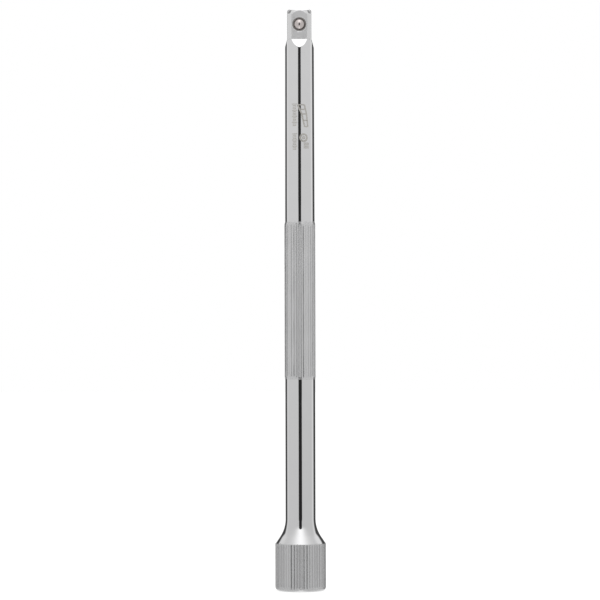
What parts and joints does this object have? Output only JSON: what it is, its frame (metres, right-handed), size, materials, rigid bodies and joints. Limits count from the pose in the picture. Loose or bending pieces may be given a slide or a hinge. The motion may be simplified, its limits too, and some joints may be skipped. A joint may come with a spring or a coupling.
{
  "type": "socket extension bar",
  "caption": "Straight socket extension bar with a knurled grip, a flared square socket end and a drive square that holds a spring-loaded detent ball.",
  "frame": {"origin": "centre of the socket end's face, on the bar's axis", "axes": "+Z along the bar from the socket end to the drive square, -Y out of the flat that holds the detent ball"},
  "size_m": [0.0132, 0.0132, 0.1524],
  "materials": {
    "chrome_plating": "polished chrome plating, satin on the drive flats",
    "ball_steel": "ground ball steel",
    "spring_steel": "drawn spring wire"
  },
  "bodies": {
    "bar": {"extension_bar": "chrome_plating", "detent_spring": "spring_steel"},
    "detent": {"detent_ball": "ball_steel"}
  },
  "joints": [
    {"name": "detent_press", "type": "slide", "parent": "bar", "child": "detent", "axis": [0, 1, 0], "range_m": [0, 0.0006], "stiffness_N_per_m": 6800, "springref_m": -0.0005, "deforming": ["detent_spring"]}
  ]
}
